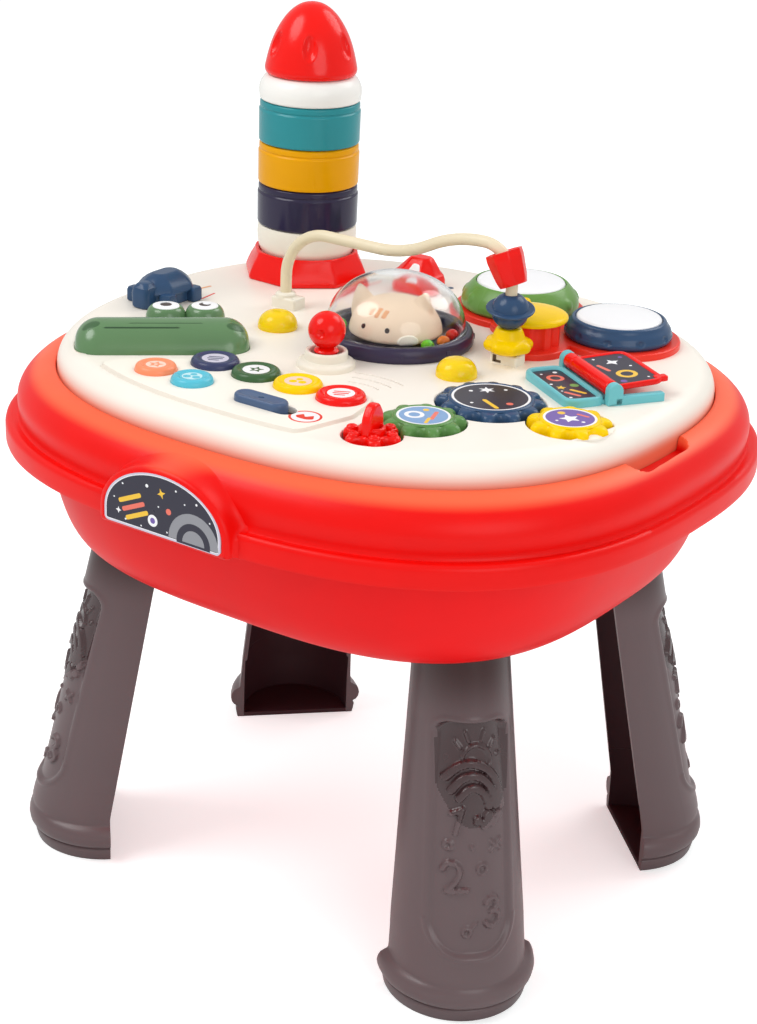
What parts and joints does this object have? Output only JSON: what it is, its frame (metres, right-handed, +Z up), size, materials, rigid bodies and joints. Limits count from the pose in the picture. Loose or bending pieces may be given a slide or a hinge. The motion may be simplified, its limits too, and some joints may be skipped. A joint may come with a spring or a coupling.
{
  "type": "musical activity table",
  "caption": "Round-cornered activity table for small children with legs, a stacking rocket, gears, drums, buttons, a popper dome and a bead arch.",
  "frame": {"origin": "on the floor under the middle of the table", "axes": "+X to the right and +Y to the back as seen from the badge side, +Z up"},
  "size_m": [0.428, 0.4015, 0.507],
  "materials": {
    "table_bowl": "satin moulded red plastic",
    "rim_shell": "satin moulded red plastic, orange on its upper slope",
    "top_panel": "satin cream plastic, tinted salmon at its edge",
    "panel_back_cover": "plain moulded plastic",
    "panel_screws": "zinc-plated screws",
    "leg_front_left": "satin brown-grey plastic with a pressed pattern",
    "leg_front_right": "satin brown-grey plastic with a pressed pattern",
    "leg_back_left": "satin brown-grey plastic with a pressed pattern",
    "leg_back_right": "satin brown-grey plastic with a pressed pattern",
    "leg_screws": "zinc-plated screws",
    "badge_plate": "printed plastic badge",
    "circuit_board": "green circuit board",
    "speaker_driver": "small loudspeaker",
    "battery_cells": "wrapped steel cells",
    "battery_door": "plain moulded plastic",
    "rocket_base": "glossy red plastic",
    "rocket_collar": "glossy ivory plastic",
    "ring_navy": "glossy dark navy plastic",
    "ring_yellow": "glossy yellow plastic",
    "ring_teal": "glossy teal plastic",
    "ring_white": "glossy white plastic",
    "nose_cone": "glossy red plastic",
    "arch_tube": "smooth ivory plastic rod",
    "arch_feet": "moulded cream plastic",
    "bead_red": "glossy red plastic",
    "bead_blue": "glossy blue plastic",
    "bead_yellow": "glossy yellow plastic",
    "dome_ring": "glossy dark navy plastic",
    "clear_dome": "clear moulded plastic",
    "cat_head": "ivory plastic with a printed face",
    "popper_balls": "small coloured plastic balls",
    "joystick_socket": "ivory plastic",
    "joystick_gimbal": "grey acetal ring",
    "joystick_ball": "glossy red plastic",
    "light_lenses": "translucent yellow plastic",
    "frog_roller": "glossy green plastic",
    "frog_eyes": "green plastic with printed eyes",
    "turtle_slider": "glossy navy plastic",
    "racer_slider": "glossy red plastic with a clear window",
    "button_coral": "glossy coral plastic with a pressed picture",
    "button_sky": "glossy sky-blue plastic with a pressed picture",
    "button_navy": "glossy navy plastic with a pressed picture",
    "button_green": "glossy green plastic with a pressed picture",
    "button_yellow": "glossy yellow plastic with a pressed picture",
    "button_red": "glossy red plastic with a pressed picture",
    "mode_slider": "satin slate-blue plastic",
    "gear_blue": "glossy blue plastic with a printed disc",
    "gear_green": "glossy green plastic with a printed disc",
    "gear_yellow": "glossy yellow plastic with a printed disc",
    "gear_red": "glossy red plastic",
    "gear_axles": "steel pins",
    "book_cover": "teal plastic with a printed page",
    "book_page": "red plastic with a printed page",
    "book_pin": "steel pin",
    "drum_base": "glossy red-orange plastic",
    "green_drum_shell": "glossy green plastic",
    "blue_drum_shell": "glossy blue plastic",
    "drum_skin_green": "smooth white plastic",
    "drum_skin_blue": "smooth white plastic",
    "turning_disc": "glossy yellow plastic"
  },
  "bodies": {
    "table": {"table_bowl": "table_bowl", "rim_shell": "rim_shell", "top_panel": "top_panel", "panel_back_cover": "panel_back_cover", "panel_screws": "panel_screws", "leg_front_left": "leg_front_left", "leg_front_right": "leg_front_right", "leg_back_left": "leg_back_left", "leg_back_right": "leg_back_right", "leg_screws": "leg_screws", "badge_plate": "badge_plate", "circuit_board": "circuit_board", "speaker_driver": "speaker_driver", "battery_cells": "battery_cells", "battery_door": "battery_door", "rocket_base": "rocket_base", "rocket_collar": "rocket_collar", "arch_tube": "arch_tube", "arch_feet": "arch_feet", "dome_ring": "dome_ring", "clear_dome": "clear_dome", "popper_balls": "popper_balls", "joystick_socket": "joystick_socket", "light_lenses": "light_lenses", "frog_eyes": "frog_eyes", "gear_axles": "gear_axles", "book_cover": "book_cover", "book_pin": "book_pin", "drum_base": "drum_base", "green_drum_shell": "green_drum_shell", "blue_drum_shell": "blue_drum_shell"},
    "ring_navy_body": {"ring_navy": "ring_navy"},
    "ring_yellow_body": {"ring_yellow": "ring_yellow"},
    "ring_teal_body": {"ring_teal": "ring_teal"},
    "ring_white_body": {"ring_white": "ring_white"},
    "nose_cone_body": {"nose_cone": "nose_cone"},
    "bead_red_body": {"bead_red": "bead_red"},
    "bead_blue_body": {"bead_blue": "bead_blue"},
    "bead_yellow_body": {"bead_yellow": "bead_yellow"},
    "cat_head_body": {"cat_head": "cat_head"},
    "joystick_gimbal_body": {"joystick_gimbal": "joystick_gimbal"},
    "joystick_ball_body": {"joystick_ball": "joystick_ball"},
    "frog_roller_body": {"frog_roller": "frog_roller"},
    "turtle_slider_body": {"turtle_slider": "turtle_slider"},
    "racer_slider_body": {"racer_slider": "racer_slider"},
    "button_coral_body": {"button_coral": "button_coral"},
    "button_sky_body": {"button_sky": "button_sky"},
    "button_navy_body": {"button_navy": "button_navy"},
    "button_green_body": {"button_green": "button_green"},
    "button_yellow_body": {"button_yellow": "button_yellow"},
    "button_red_body": {"button_red": "button_red"},
    "mode_slider_body": {"mode_slider": "mode_slider"},
    "gear_blue_body": {"gear_blue": "gear_blue"},
    "gear_green_body": {"gear_green": "gear_green"},
    "gear_yellow_body": {"gear_yellow": "gear_yellow"},
    "gear_red_body": {"gear_red": "gear_red"},
    "book_page_body": {"book_page": "book_page"},
    "drum_skin_green_body": {"drum_skin_green": "drum_skin_green"},
    "drum_skin_blue_body": {"drum_skin_blue": "drum_skin_blue"},
    "turning_disc_body": {"turning_disc": "turning_disc"}
  },
  "joints": [
    {"name": "navy_ring_lift", "type": "slide", "parent": "table", "child": "ring_navy_body", "axis": [0, 0, 1], "range_m": [0, 0.03]},
    {"name": "yellow_ring_lift", "type": "slide", "parent": "ring_navy_body", "child": "ring_yellow_body", "axis": [0, 0, 1], "range_m": [0, 0.03]},
    {"name": "teal_ring_lift", "type": "slide", "parent": "ring_yellow_body", "child": "ring_teal_body", "axis": [0, 0, 1], "range_m": [0, 0.03]},
    {"name": "white_ring_lift", "type": "slide", "parent": "ring_teal_body", "child": "ring_white_body", "axis": [0, 0, 1], "range_m": [0, 0.03]},
    {"name": "nose_lift", "type": "slide", "parent": "ring_white_body", "child": "nose_cone_body", "axis": [0, 0, 1], "range_m": [0, 0.03]},
    {"name": "button_navy_press", "type": "slide", "parent": "table", "child": "button_navy_body", "axis": [0, 0, -1], "range_m": [0, 0.0025], "stiffness_N_per_m": 300, "springref_m": -0.002},
    {"name": "button_green_press", "type": "slide", "parent": "table", "child": "button_green_body", "axis": [0, 0, -1], "range_m": [0, 0.0025], "stiffness_N_per_m": 300, "springref_m": -0.002},
    {"name": "button_yellow_press", "type": "slide", "parent": "table", "child": "button_yellow_body", "axis": [0, 0, -1], "range_m": [0, 0.0025], "stiffness_N_per_m": 300, "springref_m": -0.002},
    {"name": "button_red_press", "type": "slide", "parent": "table", "child": "button_red_body", "axis": [0, 0, -1], "range_m": [0, 0.0025], "stiffness_N_per_m": 300, "springref_m": -0.002},
    {"name": "button_coral_press", "type": "slide", "parent": "table", "child": "button_coral_body", "axis": [0, 0, -1], "range_m": [0, 0.0025], "stiffness_N_per_m": 300, "springref_m": -0.002},
    {"name": "button_sky_press", "type": "slide", "parent": "table", "child": "button_sky_body", "axis": [0, 0, -1], "range_m": [0, 0.0025], "stiffness_N_per_m": 300, "springref_m": -0.002},
    {"name": "drum_green_press", "type": "slide", "parent": "table", "child": "drum_skin_green_body", "axis": [0, 0, -1], "range_m": [0, 0.0015], "stiffness_N_per_m": 1500, "springref_m": -0.001},
    {"name": "drum_blue_press", "type": "slide", "parent": "table", "child": "drum_skin_blue_body", "axis": [0, 0, -1], "range_m": [0, 0.0015], "stiffness_N_per_m": 1500, "springref_m": -0.001},
    {"name": "mode_slide", "type": "slide", "parent": "table", "child": "mode_slider_body", "axis": [1, 0, 0], "range_m": [0, 0.006]},
    {"name": "turtle_slide", "type": "slide", "parent": "table", "child": "turtle_slider_body", "axis": [0, -1, 0], "range_m": [0, 0.008]},
    {"name": "racer_slide", "type": "slide", "parent": "table", "child": "racer_slider_body", "axis": [-1, 0, 0], "range_m": [0, 0.008]},
    {"name": "blue_gear_spin", "type": "hinge", "parent": "table", "child": "gear_blue_body", "pos_m": [0.1035, -0.047, 0.331], "axis": [0, 0, 1], "continuous": true},
    {"name": "green_gear_spin", "type": "hinge", "parent": "table", "child": "gear_green_body", "pos_m": [0.09198, -0.09613, 0.331], "axis": [0, 0, 1], "continuous": true},
    {"name": "yellow_gear_spin", "type": "hinge", "parent": "table", "child": "gear_yellow_body", "pos_m": [0.15397, -0.047, 0.331], "axis": [0, 0, 1], "continuous": true},
    {"name": "red_gear_spin", "type": "hinge", "parent": "table", "child": "gear_red_body", "pos_m": [0.08313, -0.13108, 0.331], "axis": [0, 0, 1], "continuous": true},
    {"name": "frog_roll", "type": "hinge", "parent": "table", "child": "frog_roller_body", "pos_m": [-0.096, -0.0905, 0.3304], "axis": [0.7431, 0.6691, 0], "continuous": true},
    {"name": "cat_turn", "type": "hinge", "parent": "table", "child": "cat_head_body", "pos_m": [0, 0.009, 0.333], "axis": [0, 0, 1], "continuous": true},
    {"name": "stick_side", "type": "hinge", "parent": "table", "child": "joystick_gimbal_body", "pos_m": [-0.0025, -0.0565, 0.334], "axis": [1, 0, 0], "range_deg": [-12, 12], "stiffness_Nm_per_rad": 0.02},
    {"name": "stick_forward", "type": "hinge", "parent": "joystick_gimbal_body", "child": "joystick_ball_body", "pos_m": [-0.0025, -0.0565, 0.334], "axis": [0, 1, 0], "range_deg": [-12, 12], "stiffness_Nm_per_rad": 0.02},
    {"name": "page_flip", "type": "hinge", "parent": "table", "child": "book_page_body", "pos_m": [0.132, 0.012, 0.341], "axis": [0.8387, -0.5446, 0], "range_deg": [0, 155]},
    {"name": "disc_turn", "type": "hinge", "parent": "table", "child": "turning_disc_body", "pos_m": [0.0685, 0.0495, 0.351], "axis": [0, 0, 1], "continuous": true},
    {"name": "yellow_bead_spin", "type": "hinge", "parent": "table", "child": "bead_yellow_body", "pos_m": [0.073, 0.018, 0.347], "axis": [0, 0, 1], "continuous": true},
    {"name": "blue_bead_spin", "type": "hinge", "parent": "table", "child": "bead_blue_body", "pos_m": [0.073, 0.018, 0.3645], "axis": [0, 0, 1], "continuous": true},
    {"name": "red_bead_spin", "type": "hinge", "parent": "table", "child": "bead_red_body", "pos_m": [0.06999, 0.018, 0.38907], "axis": [-0.4067, 0, 0.9135], "continuous": true}
  ],
  "couplings": [
    {"joint": "green_gear_spin", "follows": "blue_gear_spin", "ratio": -1.3333},
    {"joint": "yellow_gear_spin", "follows": "blue_gear_spin", "ratio": -1.3333},
    {"joint": "red_gear_spin", "follows": "blue_gear_spin", "ratio": 2}
  ]
}
